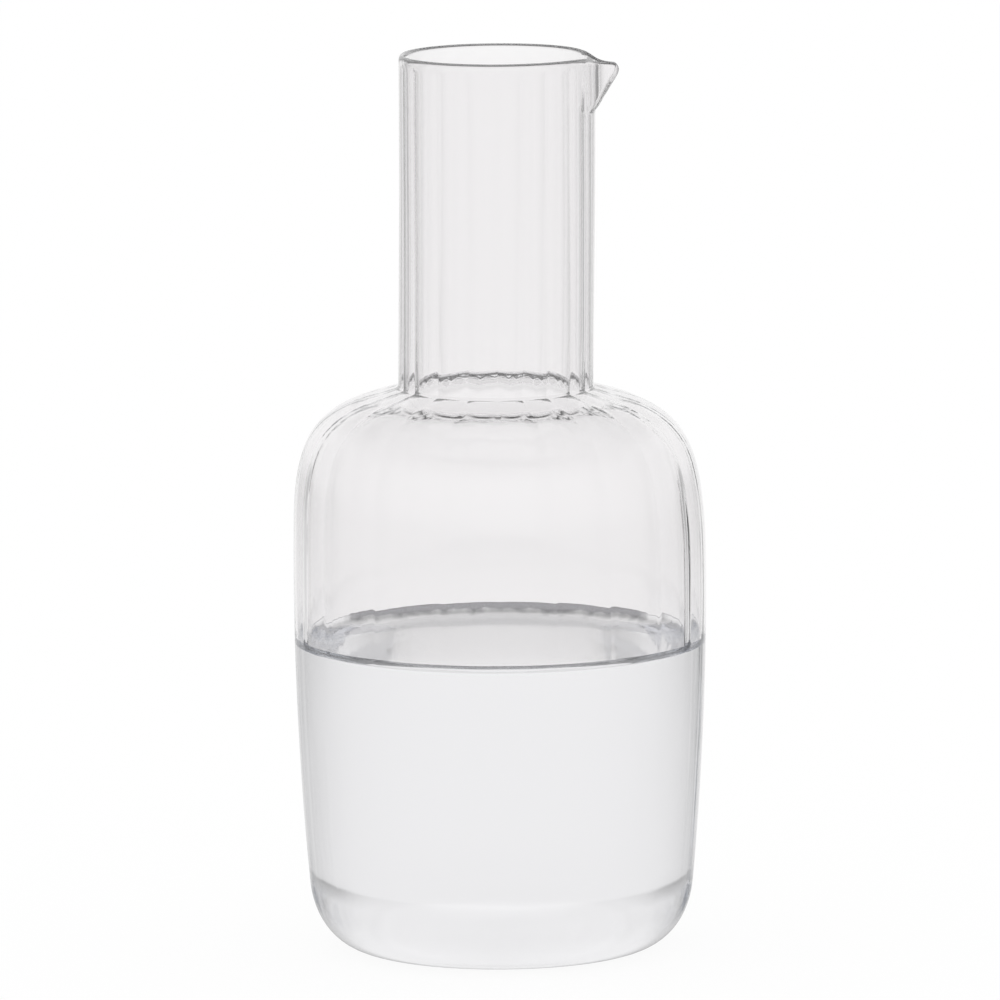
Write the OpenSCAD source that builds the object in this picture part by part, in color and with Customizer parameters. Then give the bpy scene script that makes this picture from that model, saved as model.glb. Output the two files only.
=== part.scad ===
// Mouth-blown glass carafe with a straight neck and a pinched spout, part filled with water.
// Millimetres. +Z is up, the origin is the centre of the face that it stands on, and the spout points along +X.

/* [Body] */
// Outer radius at the widest level
body_r = 55; // [52:0.5:58]
// Height of the widest level
body_z = 98; // [94:1:102]
// Radius of the ring that it stands on, at its outer edge
foot_r = 36; // [32:0.5:38]
// Outer radius where the bottom corner meets the wall
corner_r = 51.2; // [50:0.1:51.6]
// Height where the bottom corner meets the wall
corner_z = 17.5; // [14:0.5:20]
// Lean of the lower wall from upright, in degrees
lower_lean = 5.5; // [4:0.5:7]
// Slope of the shoulder where it meets the neck, in degrees below level
shoulder_slope = 12.5; // [8:0.5:18]
// How far the shoulder's curve stays upright above the widest level
shoulder_rise = 36.5; // [33:0.5:39]
// How far the shoulder's curve runs outward from the neck
shoulder_run = 28.5; // [25:0.5:30]

/* [Neck] */
// Outer radius of the neck
neck_r = 26; // [24:0.5:27]
// Height where the shoulder's slope would meet the neck
neck_z = 150.5; // [147:0.5:153]
// Size of the blend between shoulder and neck
neck_blend = 1; // [1:0.5:3]
// How much wider the neck is at the spout than at the shoulder, on the radius
neck_flare = 0.1; // [0.05:0.05:0.3]
// Height of the rim above the standing face
height = 239.5; // [225:0.5:255]

/* [Glass] */
// Wall of the neck
neck_wall = 1.6; // [1.2:0.1:2]
// Wall of the body
body_wall = 1.8; // [1.4:0.1:2.2]
// Thickness of the floor
floor_wall = 3.4; // [2.8:0.2:4.4]
// Rise of the floor at its centre, so that it stands on a ring
push_up = 1.2; // [0.8:0.1:2]
// Inner edge of the standing ring
ring_r = 29; // [25:0.5:31]

/* [Spout] */
// How far the spout's tip stands out from the neck
spout_reach = 6.4; // [4:0.2:8]
// How far the tip lies under the rim
spout_drop = 3.1; // [1.5:0.1:4]
// Height of the spout from its root on the neck to the rim
spout_h = 15.5; // [12:0.5:18]
// Half the width of the spout where it leaves the neck
spout_half = 4.2; // [3.4:0.2:5.4]
// Wall of the spout, which is drawn out thinner than the neck
spout_wall = 1.1; // [0.9:0.1:1.4]

/* [Water] */
// Height of the level water surface
water_z = 81; // [50:1:110]
// How far the water climbs up the glass
climb = 3.2; // [2:0.2:3.8]
// How far from the glass the climb fades by two thirds
climb_run = 2.3; // [1.6:0.1:3]

/* [Hidden] */
$fn = 96;
glass_colour = [0.84, 0.88, 0.87, 0.45];
water_colour = [0.80, 0.88, 0.90, 0.6];

// A cubic curve from a to d, which leaves along b and arrives from c
function curve(a, b, c, d, n) =
    [for (i = [0 : n]) let (t = i / n, u = 1 - t)
        u * u * u * a + 3 * u * u * t * b + 3 * u * t * t * c + t * t * t * d];
// The same without its first point, to follow another stretch
function rest_of(list) = [for (i = [1 : len(list) - 1]) list[i]];

// Stretches of the outer outline, each as radius and height, from the standing ring up to the rim
corner_top = [corner_r, corner_z];
lean_dir = [sin(lower_lean), cos(lower_lean)];
slope_dir = [cos(shoulder_slope), -sin(shoulder_slope)];
neck_corner = [neck_r, neck_z];
blend_low = neck_corner + neck_blend * slope_dir;
blend_top = neck_corner + [0, neck_blend];
widest = [body_r, body_z];

out_corner = curve([foot_r, 0], [foot_r + 7, 0], corner_top - 11 * lean_dir, corner_top, 18);
out_wall = curve(corner_top, corner_top + 25 * lean_dir, widest - [0, 25], widest, 18);
out_shoulder = curve(widest, widest + [0, shoulder_rise],
    blend_low + (shoulder_run - neck_blend) * slope_dir, blend_low, 30);
out_blend = curve(blend_low, blend_low - 0.55 * neck_blend * slope_dir,
    blend_top - [0, 0.55 * neck_blend], blend_top, 8);
outer = concat(out_corner, rest_of(out_wall), rest_of(out_shoulder), rest_of(out_blend));

// The wall's thickness at a height: the floor's in the bottom corner, the body's, then the neck's
function ease(t) = let (u = max(0, min(1, t))) u * u * (3 - 2 * u);
function wall_at(z) =
    z < corner_z ? floor_wall + (body_wall - floor_wall) * ease(z / corner_z)
    : body_wall + (neck_wall - body_wall) * ease((z - body_z) / (neck_z - body_z));
// The unit normal of a list of points at point i, to the right of its direction, into the glass
function inward(list, i) =
    let (a = list[max(0, i - 1)], b = list[min(len(list) - 1, i + 1)], d = b - a)
    [-d[1], d[0]] / norm(d);
last = len(outer) - 1;
inner = [for (i = [0 : last])
    i == 0 ? [foot_r, wall_at(0)]
    : i == last ? [neck_r - neck_wall, outer[i][1]]
    : outer[i] + wall_at(outer[i][1]) * inward(outer, i)];

// The floor, domed inside and under, as radius and height from the axis outward
function dome(r, edge) = r >= edge ? 0 : push_up * (1 - (r / edge) * (r / edge));
under = [for (i = [0 : 10]) let (r = ring_r * i / 10) [r, dome(r, ring_r)]];
floor_in = [for (i = [0 : 11]) let (r = foot_r * i / 12) [r, floor_wall + dome(r, foot_r)]];

// The rim: the wall's edge, melted round
top_r = neck_r + neck_flare;
lip_r = (neck_wall + neck_flare) / 2;
lip_z = height - lip_r;
lip = [for (a = [0 : 22.5 : 180]) [top_r - lip_r + lip_r * cos(a), lip_z + lip_r * sin(a)]];

// The inner outline from the centre of the floor up to a height, which the water shares
function upto(list, z) = [for (p = list) if (p[1] < z - 0.05) p];
function radius_at(list, z, i = 0) =
    list[i + 1][1] >= z
    ? list[i][0] + (list[i + 1][0] - list[i][0]) * (z - list[i][1]) / (list[i + 1][1] - list[i][1])
    : radius_at(list, z, i + 1);

// One blown piece: body, shoulder, neck and melted rim are a single wall of glass.
// It is turned so that no seam of the turned surfaces lies under the spout.
module blown_wall()
    rotate([0, 0, 200]) rotate_extrude()
        polygon(concat(
            under, [[foot_r, 0]], rest_of(outer),
            [[top_r, height - spout_h - 2]], lip,
            [for (i = [last : -1 : 0]) inner[i]],
            [for (i = [len(floor_in) - 1 : -1 : 0]) floor_in[i]]));

// The spout's keel runs from its root, just inside the neck's outer face, out to the tip
keel_root = [neck_r - 0.5, height - spout_h];
keel_tip = [neck_r + spout_reach, height - spout_drop - 1];
keel_dir = (keel_tip - keel_root) / norm(keel_tip - keel_root);
keel_in = [-keel_dir[1], keel_dir[0]];
groove_root = keel_root + spout_wall * keel_in - 2.5 * keel_dir;
groove_tip = keel_tip + spout_wall * keel_in - 0.3 * keel_dir;

// An upright pin whose outermost point lies at x, from height z upward
module pin_at(x, y, z, r, h)
    translate([x - r, y, z]) cylinder(r = r, h = h, $fn = 16);

// The drawn-out lip as a solid: its two edges on the neck, its root below and its tip
module spout_form()
    hull() {
        for (s = [-1, 1]) pin_at(neck_r - 0.5, s * (spout_half - 0.5), height - 1.6, 0.5, 1);
        pin_at(keel_root[0], 0, keel_root[1], 0.4, 0.4);
        pin_at(keel_tip[0], 0, keel_tip[1], 0.7, 1);
    }

// The groove that opens the lip to the bore and upward
module spout_groove()
    hull() {
        for (s = [-1, 1], x = [neck_r - 3, neck_r - 0.6])
            pin_at(x, s * (spout_half - spout_wall - 0.5), height - 1.4, 0.4, 4);
        pin_at(groove_root[0], 0, groove_root[1], 0.4, 1);
        pin_at(groove_tip[0], 0, groove_tip[1], 0.35, spout_drop + 3);
    }

module carafe()
    color(glass_colour)
        difference() {
            union() {
                blown_wall();
                spout_form();
            }
            spout_groove();
        }

// The water, bounded by the inner outline and, on top, by a level surface that climbs the glass
module water() {
    top_z = water_z + climb;
    sides = upto(concat(floor_in, inner), top_z);
    edge = radius_at(concat(floor_in, inner), top_z);
    color(water_colour)
        rotate_extrude()
            polygon(concat(
                sides, [[edge, top_z]],
                [for (i = [1 : 12]) let (d = 12 * (i / 12) * (i / 12))
                    [edge - d, water_z + climb * exp(-d / climb_run)]],
                [[0, water_z]]));
}

carafe();
water();
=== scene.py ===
import math

import bpy
import numpy as np
from mathutils import Matrix, Vector


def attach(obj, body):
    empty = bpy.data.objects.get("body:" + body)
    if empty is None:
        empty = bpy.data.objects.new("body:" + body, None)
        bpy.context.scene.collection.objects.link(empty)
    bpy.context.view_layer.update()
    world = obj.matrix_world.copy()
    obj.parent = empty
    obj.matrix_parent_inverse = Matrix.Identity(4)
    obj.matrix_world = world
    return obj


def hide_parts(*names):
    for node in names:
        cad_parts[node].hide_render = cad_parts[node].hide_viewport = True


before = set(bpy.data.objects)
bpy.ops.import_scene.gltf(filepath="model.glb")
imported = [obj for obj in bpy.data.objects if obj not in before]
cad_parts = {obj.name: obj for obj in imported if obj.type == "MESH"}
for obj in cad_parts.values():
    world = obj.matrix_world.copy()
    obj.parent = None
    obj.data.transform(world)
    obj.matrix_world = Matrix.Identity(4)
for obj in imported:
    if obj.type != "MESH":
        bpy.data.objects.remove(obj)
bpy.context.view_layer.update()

MM = 0.001
scene = bpy.context.scene

# ---------------------------------------------------------------------------
# Camera: a long lens a little above the rim, looking slightly down
# ---------------------------------------------------------------------------
cam_data = bpy.data.cameras.new("camera")
cam = bpy.data.objects.new("camera", cam_data)
scene.collection.objects.link(cam)
cam_data.sensor_width = 36.0
cam_data.lens = 428.07
cam_data.clip_start, cam_data.clip_end = 0.1, 60.0
CAM_AT = Vector((0.16, -3129.5, 590.2)) * MM
PITCH, ROLL = math.radians(8.5438), math.radians(-0.34)
cam.matrix_world = (
    Matrix.Translation(CAM_AT)
    @ Matrix.Rotation(math.radians(90) - PITCH, 4, "X")
    @ Matrix.Rotation(ROLL, 4, "Z")
)
scene.camera = cam

# ---------------------------------------------------------------------------
# The outline of the carafe, in millimetres, as radius and height.
# These are the same numbers and curves as the construction's.
# ---------------------------------------------------------------------------
body_r, body_z, foot_r = 55.0, 98.0, 36.0
corner_r, corner_z, lower_lean = 51.2, 17.5, 5.5
shoulder_slope, shoulder_rise, shoulder_run = 12.5, 36.5, 28.5
neck_r, neck_z, neck_blend, neck_flare, height = 26.0, 150.5, 1.0, 0.1, 239.5
neck_wall, body_wall, floor_wall, push_up, ring_r = 1.6, 1.8, 3.4, 1.2, 29.0
spout_reach, spout_h, spout_wall = 6.3, 15.5, 1.1
water_z, climb, climb_run = 81.0, 3.2, 2.3
INSET = 0.035      # keeps the round outline inside the box of the construction's solid


def vec(*v):
    return np.array(v, float)


def curve(a, b, c, d, ts):
    t = np.asarray(ts, float)[:, None]
    u = 1 - t
    return u**3 * a + 3 * u * u * t * b + 3 * u * t * t * c + t**3 * d


def ease(t):
    t = np.clip(t, 0, 1)
    return t * t * (3 - 2 * t)


def wall_at(z):
    z = np.asarray(z, float)
    return np.where(
        z < corner_z,
        floor_wall + (body_wall - floor_wall) * ease(z / corner_z),
        body_wall + (neck_wall - body_wall) * ease((z - body_z) / (neck_z - body_z)),
    )


lean_dir = vec(math.sin(math.radians(lower_lean)), math.cos(math.radians(lower_lean)))
slope_dir = vec(math.cos(math.radians(shoulder_slope)), -math.sin(math.radians(shoulder_slope)))
corner_top, widest = vec(corner_r, corner_z), vec(body_r, body_z)
neck_corner = vec(neck_r, neck_z)
blend_low = neck_corner + neck_blend * slope_dir
blend_top = neck_corner + vec(0, neck_blend)


def spaced(n, first=False):
    ts = np.linspace(0, 1, n + 1)
    return ts if first else ts[1:]


out_corner = lambda ts: curve(vec(foot_r, 0), vec(foot_r + 7, 0), corner_top - 11 * lean_dir, corner_top, ts)
out_wall = lambda ts: curve(corner_top, corner_top + 25 * lean_dir, widest - vec(0, 25), widest, ts)
out_shoulder = lambda ts: curve(
    widest, widest + vec(0, shoulder_rise), blend_low + (shoulder_run - neck_blend) * slope_dir, blend_low, ts)
out_blend = lambda ts: curve(
    blend_low, blend_low - 0.55 * neck_blend * slope_dir, blend_top - vec(0, 0.55 * neck_blend), blend_top, ts)


def normals(p):
    """Unit normals to the left of a list of points, into the glass where the list runs up the outer face."""
    d = np.gradient(p, axis=0)
    n = np.stack([-d[:, 1], d[:, 0]], 1)
    return n / np.linalg.norm(n, axis=1)[:, None]


N_CORNER, N_WALL, N_SHOULDER, N_BLEND, N_NECK, N_SPOUT = 15, 12, 27, 11, 10, 24
LIP_H = 1.7                          # height of the melted, rounded edge
LIP_Z = height - LIP_H
SPOUT_Z = height - spout_h
TOP_R = neck_r + neck_flare

# Heights of the rows on the straight neck, closer where the ribs fade in and at the spout
neck_rows = np.linspace(blend_top[1], SPOUT_Z - 2, N_NECK + 1)[1:]
spout_rows = SPOUT_Z - 2 + (LIP_Z - SPOUT_Z + 2) * np.linspace(0, 1, N_SPOUT + 1)[1:]

outer_body = np.concatenate([
    out_corner(spaced(N_CORNER, True)), out_wall(spaced(N_WALL)),
    out_shoulder(1 - (1 - spaced(N_SHOULDER)) ** 1.15), out_blend(spaced(N_BLEND))])
outer_neck = np.array([
    [neck_r + neck_flare * min(1, (z - blend_top[1]) / (SPOUT_Z - 2 - blend_top[1])), z]
    for z in np.concatenate([neck_rows, spout_rows])])
outer = np.concatenate([outer_body, outer_neck])

# The inner face: the outer one set in by the wall, with a tighter edge where the neck begins
fine = np.concatenate([
    out_corner(spaced(60, True)), out_wall(spaced(60)), out_shoulder(spaced(120))])
# A ring of thicker glass lies under the shoulder, close to the neck
GATHER, THIN = 0.7, 0.55
gather = np.where(fine[:, 1] > 130, GATHER * np.exp(-(((fine[:, 0] - 32.6) / 3.2) ** 2))
                  - THIN * np.exp(-(((fine[:, 0] - 26.0) / 2.6) ** 2)), 0)
fine_in = fine + (wall_at(fine[:, 1]) + gather)[:, None] * normals(fine)
fine_in[0] = [foot_r, floor_wall]
edge_run = fine_in[-1]
edge_z = edge_run[1] + (edge_run[0] - (neck_r - neck_wall)) * math.tan(math.radians(shoulder_slope))
EDGE = 0.9
edge_c = vec(neck_r - neck_wall, edge_z)
edge_low, edge_top = edge_c + EDGE * slope_dir, edge_c + vec(0, EDGE)


def along(p, ts):
    """Points at shares ts of the length of a list of points."""
    s = np.concatenate([[0], np.cumsum(np.linalg.norm(np.diff(p, axis=0), axis=1))])
    s /= s[-1]
    return np.stack([np.interp(ts, s, p[:, 0]), np.interp(ts, s, p[:, 1])], 1)


contact_z = water_z + climb
split = np.searchsorted(fine_in[:, 1], contact_z)
f = (contact_z - fine_in[split - 1, 1]) / (fine_in[split, 1] - fine_in[split - 1, 1])
contact = fine_in[split - 1] + f * (fine_in[split] - fine_in[split - 1])
low_part = np.concatenate([fine_in[:split], contact[None]])
high_part = np.concatenate([contact[None], fine_in[split:], edge_low[None]])
N_IN_LOW, N_IN_HIGH, N_EDGE = 26, 32, 11
inner_body = np.concatenate([
    along(low_part, spaced(N_IN_LOW, True) ** 1.0),
    along(high_part, 1 - (1 - spaced(N_IN_HIGH)) ** 1.25),
    curve(edge_low, edge_low - 0.6 * EDGE * slope_dir, edge_top - vec(0, 0.6 * EDGE), edge_top, spaced(N_EDGE))])
ROW_CONTACT = N_IN_LOW
inner_neck = np.array([[neck_r - neck_wall, z] for z in np.concatenate([
    np.linspace(edge_top[1], SPOUT_Z - 2, N_NECK + 1)[1:], spout_rows])])
inner = np.concatenate([inner_body, inner_neck])

# ---------------------------------------------------------------------------
# Ribs: twenty shallow flutes from the optic mould, not quite even, which meet in soft cusps.
# Azimuths are in degrees from -Y towards +X, at the foot of the neck.
# ---------------------------------------------------------------------------
CUSPS = [-168.2, -150.1, -131.1, -112.0, -92.0, -74.0, -59.0, -38.0, -17.0, 1.0,
         16.5, 33.0, 52.0, 69.0, 86.0, 104.5, 122.0, 140.1, 159.6, 173.5]
TWIST = -2.0       # how far the ribs have turned at the spout
FINE_LOBE = 14     # the lobe that the spout stands in

cols, share = [], []
for k, c in enumerate(CUSPS):
    nxt = CUSPS[k + 1] if k + 1 < len(CUSPS) else CUSPS[0] + 360
    m = 64 if k == FINE_LOBE else 24 if abs(k - FINE_LOBE) == 1 else 18
    i = np.arange(m) / m
    u = i if k == FINE_LOBE else 0.45 * i + 0.55 * (0.5 - 0.5 * np.cos(math.pi * i))
    cols.append(c + u * (nxt - c))
    share.append(u)
cols, share = np.concatenate(cols), np.concatenate(share)
N = len(cols)

lobe = np.sqrt(np.sin(math.pi * share) ** 2 + 0.06**2)
lobe = (lobe - lobe.min()) / (lobe.max() - lobe.min())
CUT = 1 - lobe                       # 1 on a cusp, 0 on the crown of a lobe


def twist_at(z):
    return TWIST * ease((z - 160) / 60)


def rib_depth(r, z, is_inner):
    """Depth of the ribs at a row of the outline. They are deepest inside, at the foot of the neck, where the
    glass was drawn out least, and the outer face is nearly smooth."""
    if z > 146 and r < 27.5:
        if is_inner:
            depth = 0.34 + 0.36 * math.exp(-max(z - 148.6, 0) / 1.8)
        else:
            depth = 0.12 - 0.10 * math.exp(-max(z - 152, 0) / 4)
        return depth * float(ease((height - 2.3 - z) / 0.9))
    if z > 125:
        return float(np.interp(r, [25.4, 27, 29, 33, 38, 46, 52], [0.7, 0.55, 0.42, 0.30, 0.28, 0.30, 0.32] if is_inner
                               else [0.02, 0.05, 0.10, 0.12, 0.10, 0.09, 0.08]))
    return float(np.interp(z, [0, 4, 12, 25, 60, 98, 125], [0.0, 0.05, 0.12, 0.18, 0.24, 0.28, 0.32] if is_inner
                           else [0.0, 0.02, 0.05, 0.07, 0.07, 0.07, 0.08]))


# ---------------------------------------------------------------------------
# Spout: the melted rim drawn outward and down at +X, as a pinched V with a round nose
# ---------------------------------------------------------------------------
SP_HALF = 24.0                       # half the width of rim that it takes up, in degrees
NOSE_X, NOSE_R, NOSE_LEAN = TOP_R + spout_reach, 1.35, math.radians(70)


def spout_plan():
    """The spout's outer and inner plan from its nose round to the neck, each as many points."""
    a = TOP_R * vec(math.cos(math.radians(SP_HALF)), math.sin(math.radians(SP_HALF)))
    ta = vec(math.sin(math.radians(SP_HALF)), -math.cos(math.radians(SP_HALF)))
    mid = vec(NOSE_X - NOSE_R, 0)
    b = mid + NOSE_R * vec(math.cos(NOSE_LEAN), math.sin(NOSE_LEAN))
    db = vec(math.sin(NOSE_LEAN), -math.cos(NOSE_LEAN))
    side = curve(b, b - 4.2 * db, a + 7.0 * ta, a, np.linspace(0, 1, 400))
    t = np.linspace(0, NOSE_LEAN, 60)[:-1]
    nose = mid + NOSE_R * np.stack([np.cos(t), np.sin(t)], 1)
    out_p = np.concatenate([nose, side])
    s = np.concatenate([[0], np.cumsum(np.linalg.norm(np.diff(out_p, axis=0), axis=1))])
    s /= s[-1]
    w = spout_wall + (neck_wall + neck_flare - spout_wall) * ease((s - 0.3) / 0.7)
    d = np.gradient(out_p, axis=0)
    n = np.stack([-d[:, 1], d[:, 0]], 1) / np.linalg.norm(d, axis=1)[:, None]
    in_p = out_p + w[:, None] * n
    keep = in_p[:, 1] > 0.28
    start = len(keep) - np.argmax(~keep[::-1])
    in_p = in_p[start:]
    tip = vec(in_p[0, 0] + 0.22, 0)
    turn = curve(tip, tip + vec(0, 0.16), in_p[0] + 0.15 * (in_p[0] - in_p[4]) / np.linalg.norm(in_p[0] - in_p[4]),
                 in_p[0], np.linspace(0, 1, 30))[:-1]
    return out_p, np.concatenate([turn, in_p])


PLAN_OUT, PLAN_IN = spout_plan()
KEEL_WALL, KEEL_SOFT = 1.45, 0.25


def spout_rise(z):
    """0 below the spout's root, then rising straight to 1 at the rim, with a soft start."""
    t = (float(z) - SPOUT_Z) / (LIP_Z - SPOUT_Z)
    return t if t > 0.05 else (t + 0.05) ** 2 / 0.2 if t > -0.05 else 0.0


def spout_points(theta, plan, r):
    """Where each column ends at the rim: on the spout's plan inside its width, else on the neck's circle."""
    x, y = r * np.cos(np.radians(theta)), r * np.sin(np.radians(theta))
    at = np.abs(theta) < SP_HALF
    p = along(plan, np.abs(theta[at]) / SP_HALF)
    x[at], y[at] = p[:, 0], p[:, 1] * np.sign(theta[at])
    return x, y


def drop(theta):
    """How far the rim dips at a column, from the place of its outer end on the spout's plan."""
    x, y = spout_points(theta, PLAN_OUT, TOP_R)
    t = np.degrees(np.abs(np.arctan2(y, x)))
    return 2.7 * np.exp(-(np.sqrt(t * t + 4) - 2) / 11) * ease((70 - t) / 40)


# ---------------------------------------------------------------------------
# The glass as one closed skin: rows from the middle of the underside, up the outer face,
# over the rim and down the inner face to the middle of the floor
# ---------------------------------------------------------------------------
def ring(r, z, phi):
    a = np.radians(phi)
    return np.stack([np.broadcast_to(r, phi.shape) * np.sin(a), -np.broadcast_to(r, phi.shape) * np.cos(a),
                     np.broadcast_to(z, phi.shape)], 1)


DEEP = 0.9                           # the cusp at the right of the front is cut deeper into the body


def face_rows(base, is_inner):
    rows, n_in = [], normals(base)
    for (r, z), n in zip(base, n_in):
        phi = cols + twist_at(z)
        theta = (phi - 90 + 180) % 360 - 180
        v = spout_rise(z)
        cut = CUT * rib_depth(r, z, is_inner) * (1 - v * ease((34 - np.abs(theta)) / 12))
        if is_inner:
            cut = cut * (1 + DEEP * ease((132 - z) / 12) * ease((z - 20) / 40) * np.exp(-((cols - 69) / 5) ** 2))
        rr, zz = r + cut * n[0], z + cut * n[1]
        if not is_inner:
            rr = rr + INSET * n[0]
        p = ring(rr, zz, phi)
        if v > 0:
            x, y = spout_points(theta, PLAN_IN if is_inner else PLAN_OUT, r)
            at = np.abs(theta) < SP_HALF
            # upright flanks, cut off by a keel that slants out from the root to the nose
            keel = np.sqrt(r * r - y[at] ** 2) + v * (spout_reach + 0.35)
            if is_inner:
                keel += (neck_wall + neck_flare - KEEL_WALL) * ease(v / 0.3)
            soft = 0.14 if is_inner else KEEL_SOFT
            cut_off = -soft * np.logaddexp(-x[at] / soft, -keel / soft)
            w = ease(v / 0.12)
            p[at, 0] += w * (cut_off - p[at, 0])
            p[at, 1] += w * (y[at] - p[at, 1])
            p[:, 2] -= v * drop(theta)
        rows.append(p)
    return rows


outer_rows = face_rows(outer, False)
inner_rows = face_rows(inner, True)

under_r = ring_r * np.array([0.08, 0.2, 0.36, 0.54, 0.72, 0.86, 0.95, 1.0])
under_rows = [ring(r, push_up * (1 - (r / ring_r) ** 2), cols) for r in under_r]
under_rows += [ring(r, 0.0, cols) for r in (31.0, 33.6)]
floor_r = foot_r * np.array([0.94, 0.84, 0.7, 0.54, 0.38, 0.22, 0.09])
floor_rows = [ring(r, floor_wall + push_up * (1 - (r / foot_r) ** 2), cols) for r in floor_r]

top_out, top_in = outer_rows[-1], inner_rows[-1]
lip_rows = []
LIP_N = 13
CROWN = (3, 3)                       # rows of the lip, from either side, that aren't its crown
wide = np.linalg.norm((top_out - top_in)[:, :2], axis=1)
lip_h = LIP_H * np.clip(wide / (neck_wall + neck_flare), 0.6, 1)
for i in range(1, LIP_N):
    a = math.pi * i / LIP_N
    p = (top_out + top_in) / 2 + (top_out - top_in) / 2 * math.cos(a)
    p[:, 2] += lip_h * math.sin(a)
    lip_rows.append(p)

rows = under_rows + outer_rows + lip_rows + inner_rows[::-1] + floor_rows
ROW_TOP_IN = len(under_rows) + len(outer_rows) + len(lip_rows)
ROW_WET = ROW_TOP_IN + (len(inner_rows) - 1 - ROW_CONTACT)


# The neck isn't quite on the body's axis, as on anything blown by hand
LEAN_Z = np.arange(0, 245, 0.5)
lean_raw = np.interp(LEAN_Z, [0, 112, 122, 132, 144, 152, 172, 200, 225, 245], [0, 0, -0.35, -0.5, -0.9, -0.75, -0.5, -0.12, 0, 0])
lean_w = np.exp(-(np.arange(-16, 16.5, 0.5) / 5.0) ** 2)
LEAN = np.convolve(np.pad(lean_raw, 32, mode="edge"), lean_w / lean_w.sum(), mode="valid")[:len(LEAN_Z)]


def skin(name, rows, bottom, top, flip=False):
    """A closed mesh from rows of rings with a point at each end."""
    m, n = len(rows), rows[0].shape[0]
    verts = np.concatenate([np.array([bottom], float)] + rows + [np.array([top], float)])
    verts[:, 0] += np.interp(verts[:, 2], LEAN_Z, LEAN)
    verts *= MM
    i, j = np.meshgrid(np.arange(m - 1), np.arange(n), indexing="ij")
    j2 = (j + 1) % n
    a, b = 1 + i * n + j, 1 + i * n + j2
    c, d = 1 + (i + 1) * n + j2, 1 + (i + 1) * n + j
    quads = np.stack([a, b, c, d], -1).reshape(-1, 4)
    k = np.arange(n)
    k2 = (k + 1) % n
    cap0 = np.stack([np.zeros(n, int), 1 + k2, 1 + k], 1)
    last = len(verts) - 1
    cap1 = np.stack([np.full(n, last), 1 + (m - 1) * n + k, 1 + (m - 1) * n + k2], 1)
    faces = quads.tolist() + cap0.tolist() + cap1.tolist()
    if flip:
        faces = [f[::-1] for f in faces]
    mesh = bpy.data.meshes.new(name)
    mesh.from_pydata(verts.tolist(), [], faces)
    mesh.polygons.foreach_set("use_smooth", [True] * len(mesh.polygons))
    mesh.update()
    obj = bpy.data.objects.new(name, mesh)
    scene.collection.objects.link(obj)
    row_of = np.concatenate([np.repeat(np.arange(m - 1), n), np.full(n, -1), np.full(n, m - 1)])
    return obj, row_of


glass, row_of = skin("ribbed_glass", rows, (0, 0, push_up), (0, 0, floor_wall + push_up))

# ---------------------------------------------------------------------------
# The water: a level surface that climbs the glass, and the space below it
# ---------------------------------------------------------------------------
GAP = 0.02
edge_ring = inner_rows[ROW_CONTACT]
edge_rad = np.hypot(edge_ring[:, 0], edge_ring[:, 1])
edge_phi = cols + twist_at(contact_z)
top_rows = []
CAPILLARY = 2.7                      # capillary length of water, which sets the shape of the climb


def reach_at(h):
    """Distance at which a surface that climbs a wall has sunk to height h over its level."""
    return CAPILLARY * math.acosh(2 * CAPILLARY / h) - math.sqrt(4 * CAPILLARY**2 - h * h)


for h in climb * np.concatenate([1 - np.linspace(0, 0.8, 13), [0.14, 0.09, 0.05, 0.025, 0.01]]):
    d = reach_at(h) - reach_at(climb)
    top_rows.append(ring(edge_rad - GAP - d, water_z + h, edge_phi))
for r in (32, 24, 16, 8, 3):
    top_rows.append(ring(np.full(N, float(r)), water_z, edge_phi))
side_rows = []
for p in inner_rows[:ROW_CONTACT]:
    rad = np.hypot(p[:, 0], p[:, 1])
    q = p.copy()
    q[:, :2] *= ((rad - GAP) / rad)[:, None]
    q[:, 2] += GAP
    side_rows.append(q)
bottom_rows = [q + np.array([0, 0, GAP]) for q in floor_rows[::-1]]
water_rows = bottom_rows + side_rows + top_rows
WATER_TOP = len(bottom_rows) + len(side_rows)
N_CLIMB = 17                         # rows of the top that climb
water, water_row_of = skin(
    "water_fill", water_rows, (0, 0, floor_wall + push_up + GAP), (0, 0, water_z))


# ---------------------------------------------------------------------------
# Materials
# ---------------------------------------------------------------------------
def glass_material(name, ior, colour, bump, rough=0.0):
    m = bpy.data.materials.new(name)
    m.use_nodes = True
    nt = m.node_tree
    nt.nodes.clear()
    out = nt.nodes.new("ShaderNodeOutputMaterial")
    p = nt.nodes.new("ShaderNodeBsdfPrincipled")
    p.inputs["Base Color"].default_value = (*colour, 1)
    p.inputs["Roughness"].default_value = rough
    p.inputs["IOR"].default_value = ior
    p.inputs["Transmission Weight"].default_value = 1.0
    nt.links.new(p.outputs["BSDF"], out.inputs["Surface"])
    if bump:
        # Drawn lines and faint waves of mouth-blown glass, long up the wall and short round it
        tc = nt.nodes.new("ShaderNodeTexCoord")
        mp = nt.nodes.new("ShaderNodeMapping")
        mp.inputs["Scale"].default_value = (1, 1, 0.06)
        nz = nt.nodes.new("ShaderNodeTexNoise")
        nz.inputs["Scale"].default_value = 260
        nz.inputs["Detail"].default_value = 1.5
        nz.inputs["Roughness"].default_value = 0.45
        bp = nt.nodes.new("ShaderNodeBump")
        bp.inputs["Strength"].default_value = bump
        bp.inputs["Distance"].default_value = 0.00004
        nt.links.new(tc.outputs["Object"], mp.inputs["Vector"])
        nt.links.new(mp.outputs["Vector"], nz.inputs["Vector"])
        nt.links.new(nz.outputs["Fac"], bp.inputs["Height"])
        nt.links.new(bp.outputs["Normal"], p.inputs["Normal"])
    return m


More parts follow.
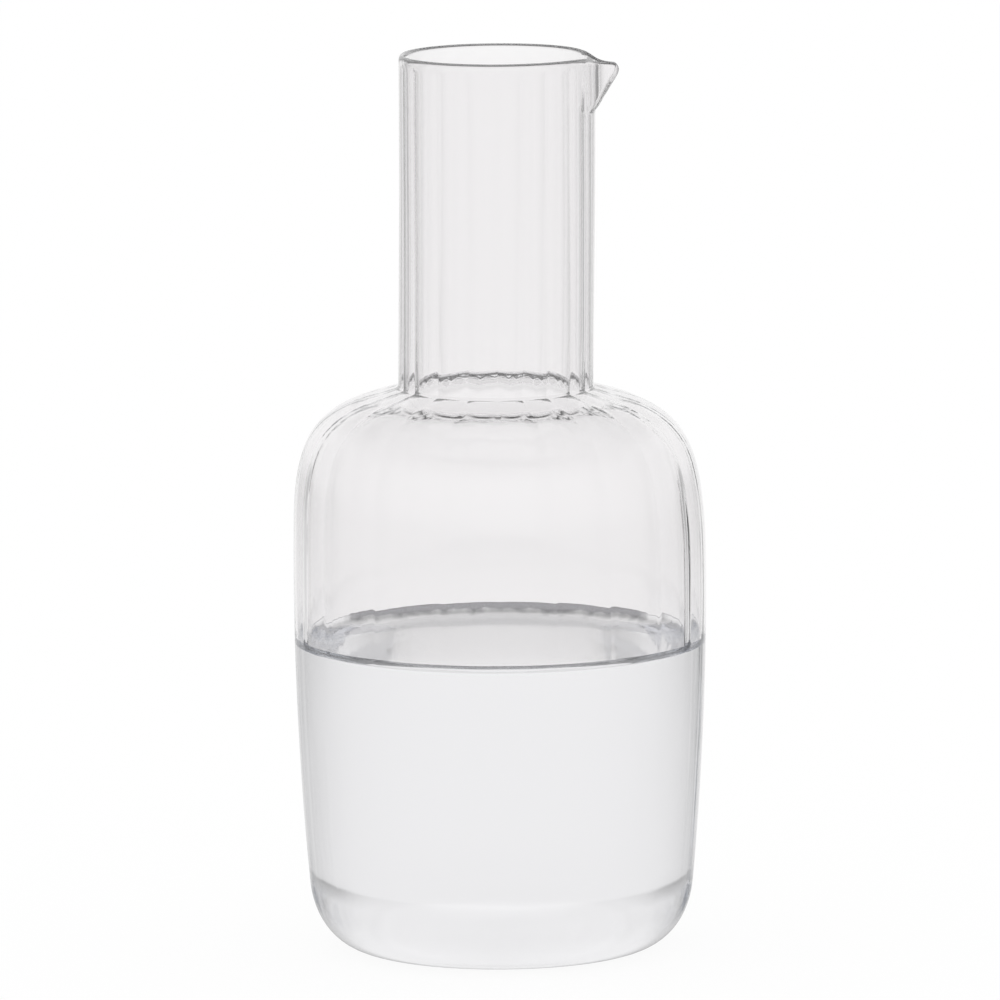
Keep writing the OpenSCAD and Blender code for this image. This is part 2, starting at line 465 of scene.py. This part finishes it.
# how dark the painted shade on the crown of the rim is
RIM_PAINTED_SHADE = 0.45
SURFACE_ROUGH = 0.10                 # of the water's level surface
GLASS_TINT, WET_TINT = (0.984, 0.976, 0.980), (0.967, 0.972, 0.982)
clear = glass_material("clear_glass", 1.5, GLASS_TINT, 1.0)
wetted = glass_material("clear_glass_wetted", 1.128, WET_TINT, 1.0)
surface = glass_material("still_water", 1.333, (1.0, 1.0, 1.0), 0, SURFACE_ROUGH)
# The crown of the rim gets painted shade: its colour is darkened to stand in for light that enters the crown, runs down
# inside the wall and is mostly lost there
crown = glass_material("clear_glass_rim_painted_shade", 1.5, (1.0, 1.0, 1.0), 0)


def paint_crown_shade(m):
    """Paints shade into the crown's colour: dark everywhere but at the side away from the spout, which is painted
    lighter.
    """
    nt = m.node_tree
    p = next(n for n in nt.nodes if n.type == "BSDF_PRINCIPLED")
    tc = nt.nodes.new("ShaderNodeTexCoord")
    flat = nt.nodes.new("ShaderNodeMapping")
    flat.inputs["Scale"].default_value = (1, 1, 0)
    nt.links.new(tc.outputs["Object"], flat.inputs["Vector"])
    unit = nt.nodes.new("ShaderNodeVectorMath")
    unit.operation = "NORMALIZE"
    nt.links.new(flat.outputs["Vector"], unit.inputs[0])
    part = nt.nodes.new("ShaderNodeSeparateXYZ")
    nt.links.new(unit.outputs["Vector"], part.inputs["Vector"])
    share = nt.nodes.new("ShaderNodeMapRange")
    share.interpolation_type = "SMOOTHSTEP"
    share.inputs["From Min"].default_value = -0.96
    share.inputs["From Max"].default_value = -0.72
    nt.links.new(part.outputs["X"], share.inputs["Value"])
    ramp = nt.nodes.new("ShaderNodeValToRGB")
    e = ramp.color_ramp.elements
    e[0].position, e[0].color = 0.0, (0.9, 0.9, 0.9, 1)
    e[1].position, e[1].color = 1.0, (RIM_PAINTED_SHADE, RIM_PAINTED_SHADE, RIM_PAINTED_SHADE, 1)
    nt.links.new(share.outputs["Result"], ramp.inputs["Fac"])
    nt.links.new(ramp.outputs["Color"], p.inputs["Base Color"])


paint_crown_shade(crown)


def climbing_painted_shade_material():
    """Water where it climbs the glass, with painted shade: its colour is darkened in uneven streaks, standing in for
    the dark of the room that the thin wedge gathers.
    """
    m = glass_material("still_water_climbing_painted_shade", 1.333, (1.0, 1.0, 1.0), 0)
    nt = m.node_tree
    p = next(n for n in nt.nodes if n.type == "BSDF_PRINCIPLED")
    tc = nt.nodes.new("ShaderNodeTexCoord")
    sep = nt.nodes.new("ShaderNodeSeparateXYZ")
    nt.links.new(tc.outputs["Object"], sep.inputs["Vector"])
    streak = nt.nodes.new("ShaderNodeTexNoise")
    streak.inputs["Scale"].default_value = 170
    streak.inputs["Detail"].default_value = 2.5
    mp = nt.nodes.new("ShaderNodeMapping")
    mp.inputs["Scale"].default_value = (1, 1, 0.15)
    nt.links.new(tc.outputs["Object"], mp.inputs["Vector"])
    nt.links.new(mp.outputs["Vector"], streak.inputs["Vector"])
    # the painted shade fades out towards both sides of the carafe, so it lies at the front and back
    flat = nt.nodes.new("ShaderNodeMapping")
    flat.inputs["Scale"].default_value = (1, 1, 0)
    nt.links.new(tc.outputs["Object"], flat.inputs["Vector"])
    unit = nt.nodes.new("ShaderNodeVectorMath")
    unit.operation = "NORMALIZE"
    nt.links.new(flat.outputs["Vector"], unit.inputs[0])
    part = nt.nodes.new("ShaderNodeSeparateXYZ")
    nt.links.new(unit.outputs["Vector"], part.inputs["Vector"])
    mag = nt.nodes.new("ShaderNodeMath")
    mag.operation = "ABSOLUTE"
    nt.links.new(part.outputs["Y"], mag.inputs[0])
    fade = nt.nodes.new("ShaderNodeMapRange")
    fade.interpolation_type = "SMOOTHSTEP"
    fade.inputs["From Min"].default_value = 0.52
    fade.inputs["From Max"].default_value = 0.70
    nt.links.new(mag.outputs["Value"], fade.inputs["Value"])
    # the painted shade begins at a height over the level surface, moved up and down a little by the streaks
    shift = nt.nodes.new("ShaderNodeMath")
    shift.operation = "MULTIPLY_ADD"
    shift.inputs[1].default_value = 0.0022
    nt.links.new(streak.outputs["Fac"], shift.inputs[0])
    nt.links.new(sep.outputs["Z"], shift.inputs[2])
    rng = nt.nodes.new("ShaderNodeMapRange")
    rng.inputs["From Min"].default_value = (water_z + 1.7) * MM
    rng.inputs["From Max"].default_value = (water_z + 2.9) * MM
    nt.links.new(shift.outputs["Value"], rng.inputs["Value"])
    both = nt.nodes.new("ShaderNodeMath")
    both.operation = "MULTIPLY"
    nt.links.new(rng.outputs["Result"], both.inputs[0])
    nt.links.new(fade.outputs["Result"], both.inputs[1])
    ramp = nt.nodes.new("ShaderNodeValToRGB")
    e = ramp.color_ramp.elements
    e[0].position, e[0].color = 0.0, (1, 1, 1, 1)
    e[1].position, e[1].color = 1.0, (*CLIMB_PAINTED_SHADE, 1)
    nt.links.new(both.outputs["Value"], ramp.inputs["Fac"])
    nt.links.new(ramp.outputs["Color"], p.inputs["Base Color"])
    return m


# colour of the painted shade where the water climbs the glass
CLIMB_PAINTED_SHADE = (0.17, 0.17, 0.18)
climbing = climbing_painted_shade_material()

inside = bpy.data.materials.new("still_water_against_glass")
inside.use_nodes = True
nt = inside.node_tree
nt.nodes.clear()
out = nt.nodes.new("ShaderNodeOutputMaterial")
tr = nt.nodes.new("ShaderNodeBsdfTransparent")
tr.inputs["Color"].default_value = (1, 1, 1, 1)
nt.links.new(tr.outputs["BSDF"], out.inputs["Surface"])

glass.data.materials.append(clear)
glass.data.materials.append(wetted)
glass.data.materials.append(crown)
# the crown of the lip takes the material with painted shade
lip_at = row_of - (len(under_rows) + len(outer_rows) - 1)
slot_of = np.where(row_of >= ROW_WET, 1, np.where((lip_at >= CROWN[0]) & (lip_at < LIP_N - CROWN[1]), 2, 0))
glass.data.polygons.foreach_set("material_index", slot_of.astype(int).tolist())
water.data.materials.append(surface)
water.data.materials.append(inside)
water.data.materials.append(climbing)
slot_of = np.where(water_row_of < WATER_TOP, 1, np.where(water_row_of < WATER_TOP + N_CLIMB, 2, 0))
water.data.polygons.foreach_set("material_index", slot_of.astype(int).tolist())

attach(glass, "root")
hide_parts("carafe")
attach(water, "root")
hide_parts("water")

# ---------------------------------------------------------------------------
# Stage: a white table and backdrop for the camera. Round them stands a studio that only rays
# bent or reflected by the glass meet: a bright sheet behind the object, which falls off to both
# sides, a table that is greyer close to the object, and a dark ceiling. It turns with the camera
# about the object's axis, as the lamps do when the object is on a turntable.
# ---------------------------------------------------------------------------
world = bpy.data.worlds.new("studio")
scene.world = world
world.use_nodes = True
world.node_tree.nodes["Background"].inputs["Color"].default_value = (1, 1, 1, 1)
world.node_tree.nodes["Background"].inputs["Strength"].default_value = 1.0

FLOOR_MATTE = 0.06
floor_mat = bpy.data.materials.new("floor_white")
floor_mat.use_nodes = True
p = floor_mat.node_tree.nodes["Principled BSDF"]
p.inputs["Base Color"].default_value = (FLOOR_MATTE,) * 3 + (1,)
p.inputs["Roughness"].default_value = 1.0
p.inputs["Specular IOR Level"].default_value = 0.0
p.inputs["Emission Color"].default_value = (1, 1, 1, 1)
p.inputs["Emission Strength"].default_value = 1 - FLOOR_MATTE
mesh = bpy.data.meshes.new("floor")
mesh.from_pydata([(-8, -8, 0), (8, -8, 0), (8, 8, 0), (-8, 8, 0)], [], [(0, 1, 2, 3)])
mesh.materials.append(floor_mat)
floor = bpy.data.objects.new("floor", mesh)
scene.collection.objects.link(floor)
floor.visible_transmission = False
floor.visible_glossy = False

turn = bpy.data.objects.new("studio_turn", None)
scene.collection.objects.link(turn)
track = turn.constraints.new("LOCKED_TRACK")
track.target = cam
track.track_axis = "TRACK_NEGATIVE_Y"
track.lock_axis = "LOCK_Z"

glow = bpy.data.materials.new("studio_glow")
glow.use_nodes = True
nt = glow.node_tree
nt.nodes.clear()
out = nt.nodes.new("ShaderNodeOutputMaterial")
em = nt.nodes.new("ShaderNodeEmission")
at = nt.nodes.new("ShaderNodeAttribute")
at.attribute_name = "level"
at2 = nt.nodes.new("ShaderNodeAttribute")
at2.attribute_name = "matte"
# A painted reflection: the table glows brighter at a low angle, as if a silk gloss mirrored the bright sheet, and
# steeply only its own grey shows
lw = nt.nodes.new("ShaderNodeLayerWeight")
painted_reflection_share = nt.nodes.new("ShaderNodeMapRange")
painted_reflection_share.interpolation_type = "SMOOTHSTEP"
painted_reflection_share.inputs["From Min"].default_value = 0.36
painted_reflection_share.inputs["From Max"].default_value = 0.56
mx = nt.nodes.new("ShaderNodeMix")
nt.links.new(lw.outputs["Facing"], painted_reflection_share.inputs["Value"])
nt.links.new(painted_reflection_share.outputs["Result"], mx.inputs["Factor"])
nt.links.new(at2.outputs["Fac"], mx.inputs["A"])
nt.links.new(at.outputs["Fac"], mx.inputs["B"])
nt.links.new(mx.outputs["Result"], em.inputs["Strength"])
nt.links.new(em.outputs["Emission"], out.inputs["Surface"])


def studio_sheet(name, grid, levels, matte):
    """A sheet from rows of points and the brightness at each. Only bent and reflected rays see it."""
    m, n = grid.shape[:2]
    faces = [(i * n + j, i * n + j + 1, (i + 1) * n + j + 1, (i + 1) * n + j) for i in range(m - 1) for j in range(n - 1)]
    mesh = bpy.data.meshes.new(name)
    mesh.from_pydata((grid.reshape(-1, 3)).tolist(), [], faces)
    mesh.attributes.new("level", "FLOAT", "POINT").data.foreach_set("value", levels.ravel().tolist())
    mesh.attributes.new("matte", "FLOAT", "POINT").data.foreach_set("value", matte.ravel().tolist())
    mesh.materials.append(glow)
    o = bpy.data.objects.new(name, mesh)
    scene.collection.objects.link(o)
    o.visible_camera = False
    o.visible_diffuse = False
    o.visible_shadow = False
    o.visible_volume_scatter = False
    o.parent = turn
    return o


# Azimuth is from straight behind the object, the same on both sides
az = np.concatenate([-np.arange(180, 0, -3.0), np.arange(0, 181, 3.0)])
side = np.abs(az)
SIDES = [0, 8, 14, 22, 28, 34, 43, 54, 70, 92, 120, 180]
FAR = [0.99, 0.97, 0.90, 0.86, 0.76, 0.55, 0.42, 0.38, 0.33, 0.30, 0.30, 0.34]
NEAR = [1.00, 1.00, 0.99, 0.97, 0.93, 0.88, 0.80, 0.72, 0.62, 0.50, 0.47, 0.48]
WALL = [0.93, 0.94, 0.95, 0.94, 0.92, 0.89, 0.83, 0.68, 0.49, 0.35, 0.52, 0.60]
CEILING = 0.08
table_r = np.array([1, 50, 62, 75, 95, 115, 135, 160, 200, 260, 360, 480, 650, 800, 1100, 1600, 2500, 5000.0])
# table_l sets the table's painted reflection, seen at a low angle, and table_m its grey, seen steeply
table_l = np.interp(table_r, [0, 160, 300, 480, 650, 800], [.90, .91, .93, .94, .96, .99])
table_m = np.interp(table_r, [0, 60, 80, 100, 130, 160, 220, 800], [.97, .85, .78, .78, .72, .50, .24, .20])
far_share = ease((table_r - 480) / 450)[:, None]
shape = (1 - far_share) * np.interp(side, SIDES, NEAR)[None, :] + far_share * np.interp(side, SIDES, FAR)[None, :] / 0.99
grid = np.stack([table_r[:, None] * np.sin(np.radians(az))[None, :], table_r[:, None] * np.cos(np.radians(az))[None, :],
                 np.full((len(table_r), len(az)), -0.05)], -1) * MM
close = ease((110 - table_r) / 60)[:, None]
studio_sheet("studio_table", grid, table_l[:, None] * shape, table_m[:, None] * (close + (1 - close) * shape))

elev = np.array([-1, 0, 5, 10, 20, 28, 36, 44, 52, 60, 75, 90.0])
up = ease((elev - 24) / 28)[:, None]
dome = (1 - up) * np.interp(side, SIDES, WALL)[None, :] + up * CEILING
horizon = ease((4 - elev) / 5)[:, None]
dome = (1 - horizon) * dome + horizon * np.interp(side, SIDES, FAR)[None, :]
grid = np.stack([5 * np.cos(np.radians(elev))[:, None] * np.sin(np.radians(az))[None, :],
                 5 * np.cos(np.radians(elev))[:, None] * np.cos(np.radians(az))[None, :],
                 5 * np.sin(np.radians(elev))[:, None] * np.ones(len(az))[None, :]], -1)
studio_sheet("studio_dome", grid, dome, dome)

scene.view_settings.view_transform = "Standard"
scene.view_settings.look = "None"
scene.cycles.max_bounces = 96        # light runs a long way along the inside of the walls
scene.cycles.transmission_bounces = 96
scene.cycles.glossy_bounces = 96
scene.cycles.transparent_max_bounces = 96
